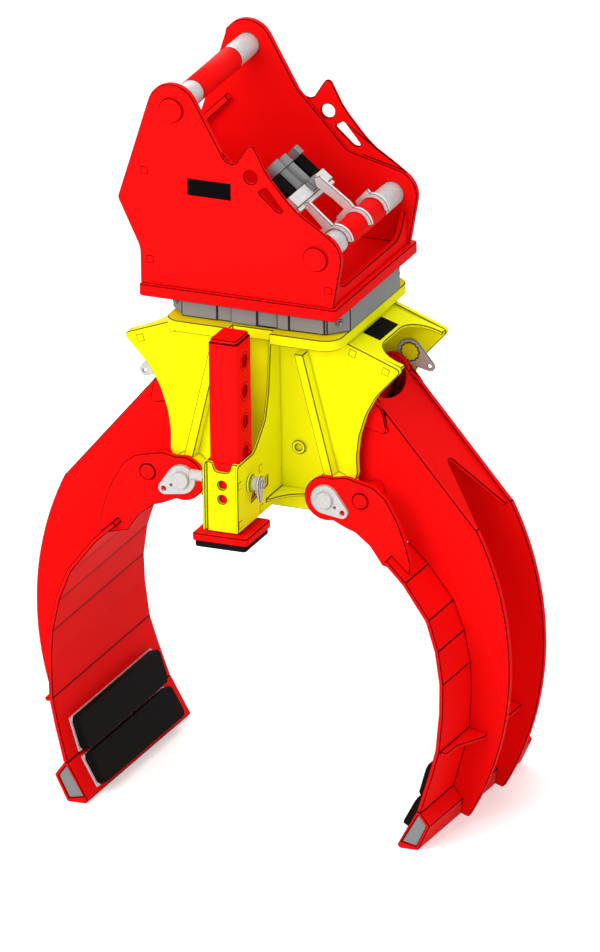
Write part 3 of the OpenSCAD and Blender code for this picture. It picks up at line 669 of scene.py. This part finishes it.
class PIPEGRAB_OT_arm_gussets(bpy.types.Operator):
    """Lay the small gussets on the side plates of the arms"""

    bl_idname = "pipegrab.arm_gussets"
    bl_label = "Arm gussets"

    def execute(self, context):
        width = context.scene.pipegrab_finish.edge_width * GUSSET_EDGE_SHARE
        for node, side in (("arm_plates_right", 1), ("arm_plates_left", -1)):
            outline = points_of(rounded(GUSSET, steps=4), side)
            hole = ring((side * GUSSET_HOLE[0], GUSSET_HOLE[1]), GUSSET_HOLE_RADIUS, steps=20)
            for place in GUSSET_PLACES:
                piece = flat_plate("arm_gusset", [outline, hole], place, place + GUSSET_THICKNESS)
                edge_bevel(piece, width, held=False)
                smooth_within(SMOOTH_ANGLE)
                settle(piece, NODE_BODY[node], "red_paint", "red_paint", "red_edge")
        return {"FINISHED"}


# bright strips behind the grip pads

# two points of the belly plate's inner face, then where the pad starts and ends along it
PAD_SEATS = [((647.5, -140.0), (611.6, -259.7), 5, 120), ((611.6, -259.7), (542.0, -385.0), 14, 125)]
BACKING_PAST_PAD = 1
# distances of its two faces from the belly plate
BACKING_DEPTHS = (0.03, 7.9)
BACKING_HALF_WIDTH = 333
BACKING_EDGE = 0.001


class PIPEGRAB_OT_pad_backings(bpy.types.Operator):
    """Put the bright backing strips between the grip pads and the belly plates"""

    bl_idname = "pipegrab.pad_backings"
    bl_label = "Pad backings"

    def execute(self, context):
        near, far = BACKING_DEPTHS
        for node, side in (("grip_pads_right", 1), ("grip_pads_left", -1)):
            for start, end, first, last in PAD_SEATS:
                along = (Vector(end) - Vector(start)).normalized()
                inward = Vector((along.y, -along.x))
                low, high = first - BACKING_PAST_PAD, last + BACKING_PAST_PAD
                corners = [Vector(start) + along * a + inward * b
                           for a, b in ((low, near), (high, near), (high, far), (low, far))]
                piece = flat_plate("pad_backing", [points_of(corners, side)], -BACKING_HALF_WIDTH,
                                   BACKING_HALF_WIDTH)
                edge_bevel(piece, BACKING_EDGE)
                settle(piece, NODE_BODY[node], "pin_steel", "bright_steel", "steel_edge")
        return {"FINISHED"}


# rings round the free holes of the columns: Y of each column, heights, and X where a ring starts

RING_COLUMNS = [("column_front", -471), ("column_rear", 471)]
RING_HEIGHTS = (924, 1029, 1134, 1239)
RING_PLACES = (-52.2, 50.5)
RING_THICKNESS = 1.7
RING_RADII = (32, 21)
RING_EDGE = 0.0016
RING_EDGE_ANGLE = 60


class PIPEGRAB_OT_column_rings(bpy.types.Operator):
    """Set a ring round every free hole of the stabiliser columns"""

    bl_idname = "pipegrab.column_rings"
    bl_label = "Column rings"

    def execute(self, context):
        for node, across in RING_COLUMNS:
            for height in RING_HEIGHTS:
                loops = [ring((across, height), radius, steps=32) for radius in RING_RADII]
                for place in RING_PLACES:
                    piece = flat_plate("column_ring", loops, place, place + RING_THICKNESS, "X")
                    edge_bevel(piece, RING_EDGE, RING_EDGE_ANGLE, held=False)
                    settle(piece, NODE_BODY[node], "red_paint", "red_paint", "red_edge")
        return {"FINISHED"}


# square tab ends in the front and the rear plates, in metres

# body, paint, outer face of its plates from the middle, then X, height above the ground and turn of each end
TAB_MARKS = [
    ("head", "red_paint", 0.325, [(-0.354, 2.185, 0), (-0.338, 1.879, 0), (0.287, 1.855, 0)]),
    ("frame", "yellow_paint", 0.206,
     [(0.318, 1.600, -18), (0.433, 1.552, -18), (-0.427, 1.552, 18), (-0.312, 1.600, 18)]),
]
# Y and Z of the tab ends in the side plates of the front sleeve, which the rear one mirrors
SLEEVE_MARKS = [(-0.380, 1.230), (-0.377, 1.092), (-0.551, 1.230), (-0.549, 1.096)]
SLEEVE_FACE = 0.063
# how far the dark joint stands out round a tab end, and the thickness of the joint and of the end
JOINT_MARGIN = 0.002
JOINT_THICKNESS = 0.0016
TAB_THICKNESS = 0.0026


def tab_places():
    """Body, paint, centre, turn and the axes that each tab end spreads along."""
    places = [(body, paint, (x, side * face, z), turn, (1, 0, 1))
              for body, paint, face, marks in TAB_MARKS for side in (-1, 1) for x, z, turn in marks]
    places += [("frame", "yellow_paint", (across * SLEEVE_FACE, along * y, z), 0, (0, 1, 1))
               for y, z in SLEEVE_MARKS for across in (-1, 1) for along in (-1, 1)]
    return places


class PIPEGRAB_OT_tab_marks(bpy.types.Operator):
    """Set the square tab ends into the head plates, the frame plates and both sleeves"""

    bl_idname = "pipegrab.tab_marks"
    bl_label = "Tab ends"

    def execute(self, context):
        size = context.scene.pipegrab_finish.mark_size
        for number, (body, slot, place, turn, plane) in enumerate(tab_places()):
            for name, finish, width, thickness in (
                    ("tab_joint", EDGE_OF[slot], size + 2 * JOINT_MARGIN, JOINT_THICKNESS),
                    ("tab_end", slot, size, TAB_THICKNESS)):
                deselect_all()
                bpy.ops.mesh.primitive_cube_add(size=1, location=place, rotation=(0, math.radians(-turn), 0),
                                                scale=[width if along else thickness for along in plane])
                mark = context.active_object
                mark.name = "%s_%02d" % (name, number)
                settle(mark, body, slot, finish)
        return {"FINISHED"}


# studio: floor, sky, camera and lamps

FLOOR_DROP = 0.001
# the camera's right and upward directions, and how far along them it aims from the gripped circle's axis
CAMERA_RIGHT = Vector((0.91973, 0.39229, -0.01431))
CAMERA_UP = Vector((-0.12911, 0.33673, 0.93271))
AIM_RIGHT = 0.02484
AIM_UP = 0.61885
CAMERA_REACH = 60
# distance of the camera and the lamps from what they face, and the height that the lamps face
STAND_OFF = 7.0
LAMP_AIM_HEIGHT = 1.2
# name, direction from the object, power in watts and side in metres
LAMPS = [
    ("key_light", (-0.25, -1.0, 0.55), 370, 5),
    ("top_light", (0.1, 0.2, 1.0), 200, 6),
    ("side_light", (1.0, -0.2, 0.3), 60, 5),
    ("rear_light", (-0.5, 1.0, 0.5), 160, 5),
]


def seen_directly(tree):
    """One for rays that the camera, a gloss or a glass sends, nought for the others."""
    path = add_node(tree, "ShaderNodeLightPath")
    camera_or_gloss = add_node(tree, "ShaderNodeMath", operation="MAXIMUM")
    tree.links.new(path.outputs["Is Camera Ray"], camera_or_gloss.inputs[0])
    tree.links.new(path.outputs["Is Glossy Ray"], camera_or_gloss.inputs[1])
    with_glass = add_node(tree, "ShaderNodeMath", operation="MAXIMUM")
    tree.links.new(camera_or_gloss.outputs[0], with_glass.inputs[0])
    tree.links.new(path.outputs["Is Transmission Ray"], with_glass.inputs[1])
    return with_glass.outputs[0]


def lay_floor(sizes):
    """Pale floor that glows only where it is seen, just under the feet."""
    deselect_all()
    bpy.ops.mesh.primitive_plane_add(size=sizes.floor_size, location=(0, 0, -FLOOR_DROP))
    floor = bpy.context.active_object
    floor.name = "studio_floor"
    apply_place()
    mat, tree, shader = shader_tree("studio_floor")
    shader.inputs["Base Color"].default_value = (0.8, 0.8, 0.8, 1)
    shader.inputs["Emission Color"].default_value = (1, 1, 1, 1)
    set_gloss(shader, roughness=0.9, specular=0.1)
    seen = seen_directly(tree)
    glow = add_node(tree, "ShaderNodeMath", operation="MULTIPLY")
    glow.inputs[1].default_value = sizes.floor_glow
    tree.links.new(seen, glow.inputs[0])
    tree.links.new(glow.outputs[0], shader.inputs["Emission Strength"])
    floor.data.materials.append(mat)


def light_sky(scene, sizes):
    """Even light from all round, which looks white where it is seen."""
    world = scene.world or bpy.data.worlds.new("studio")
    scene.world = world
    world.use_nodes = True
    tree = world.node_tree
    background = tree.nodes["Background"]
    background.inputs["Color"].default_value = (1, 1, 1, 1)
    strength = add_node(tree, "ShaderNodeMapRange", To_Min=sizes.sky, To_Max=1.0)
    tree.links.new(seen_directly(tree), strength.inputs["Value"])
    tree.links.new(strength.outputs["Result"], background.inputs["Strength"])


def place_camera(scene, sizes):
    """Camera without perspective, in front on the right and above."""
    right = CAMERA_RIGHT.normalized()
    backward = right.cross(CAMERA_UP.normalized()).normalized()
    up = backward.cross(right).normalized()
    aim = right * AIM_RIGHT + up * AIM_UP + Vector((0, 0, GROUND_TO_AXIS))
    lens = bpy.data.cameras.new("studio_camera")
    camera = bpy.data.objects.new("studio_camera", lens)
    scene.collection.objects.link(camera)
    lens.type = "ORTHO"
    lens.ortho_scale = sizes.view_height
    lens.clip_end = CAMERA_REACH
    turn = Matrix((right, up, backward)).transposed().to_4x4()
    camera.matrix_world = Matrix.Translation(aim + backward * STAND_OFF) @ turn
    scene.camera = camera


def soft_lamp(scene, name, direction, power, size):
    """Large square lamp that faces the object from one direction."""
    data = bpy.data.lights.new(name, "AREA")
    data.energy = power
    data.size = size
    lamp = bpy.data.objects.new(name, data)
    scene.collection.objects.link(lamp)
    place = Vector(direction).normalized() * STAND_OFF
    lamp.location = place + Vector((0, 0, LAMP_AIM_HEIGHT))
    lamp.rotation_euler = (-place).to_track_quat("-Z", "Y").to_euler()


class PIPEGRAB_OT_stage(bpy.types.Operator):
    """Set the pale floor, the soft lights and the camera"""

    bl_idname = "pipegrab.stage"
    bl_label = "Stage"

    def execute(self, context):
        scene = context.scene
        scene.view_settings.view_transform = "Standard"
        lay_floor(scene.pipegrab_stage)
        light_sky(scene, scene.pipegrab_stage)
        place_camera(scene, scene.pipegrab_stage)
        for lamp in LAMPS:
            soft_lamp(scene, *lamp)
        return {"FINISHED"}


class PIPEGRAB_PT_panel(bpy.types.Panel):
    """Sidebar panel that lists the steps and their sizes"""

    bl_label = "Pipe grab"
    bl_idname = "PIPEGRAB_PT_panel"
    bl_space_type = "VIEW_3D"
    bl_region_type = "UI"
    bl_category = "Pipe grab"

    def draw(self, context):
        layout = self.layout
        for group in (context.scene.pipegrab_finish, context.scene.pipegrab_stage):
            for key in group.bl_rna.properties.keys():
                if key not in {"rna_type", "name"}:
                    layout.prop(group, key)
        for step in STEPS:
            layout.operator(step.bl_idname)


STEPS = [PIPEGRAB_OT_stage, PIPEGRAB_OT_finish_nodes, PIPEGRAB_OT_plates, PIPEGRAB_OT_drive_housing,
         PIPEGRAB_OT_hose_bracket, PIPEGRAB_OT_arm_gussets, PIPEGRAB_OT_pad_backings,
         PIPEGRAB_OT_column_rings, PIPEGRAB_OT_tab_marks]
CLASSES = [FinishSizes, StageSizes, *STEPS, PIPEGRAB_PT_panel]


def register():
    for cls in CLASSES:
        bpy.utils.register_class(cls)
    bpy.types.Scene.pipegrab_finish = bpy.props.PointerProperty(type=FinishSizes)
    bpy.types.Scene.pipegrab_stage = bpy.props.PointerProperty(type=StageSizes)


def unregister():
    del bpy.types.Scene.pipegrab_stage
    del bpy.types.Scene.pipegrab_finish
    for cls in reversed(CLASSES):
        bpy.utils.unregister_class(cls)


def main():
    register()
    bpy.ops.pipegrab.stage()
    bpy.ops.pipegrab.finish_nodes()
    bpy.ops.pipegrab.plates()
    bpy.ops.pipegrab.drive_housing()
    bpy.ops.pipegrab.hose_bracket()
    bpy.ops.pipegrab.arm_gussets()
    bpy.ops.pipegrab.pad_backings()
    bpy.ops.pipegrab.column_rings()
    bpy.ops.pipegrab.tab_marks()


if __name__ == "__main__":
    main()
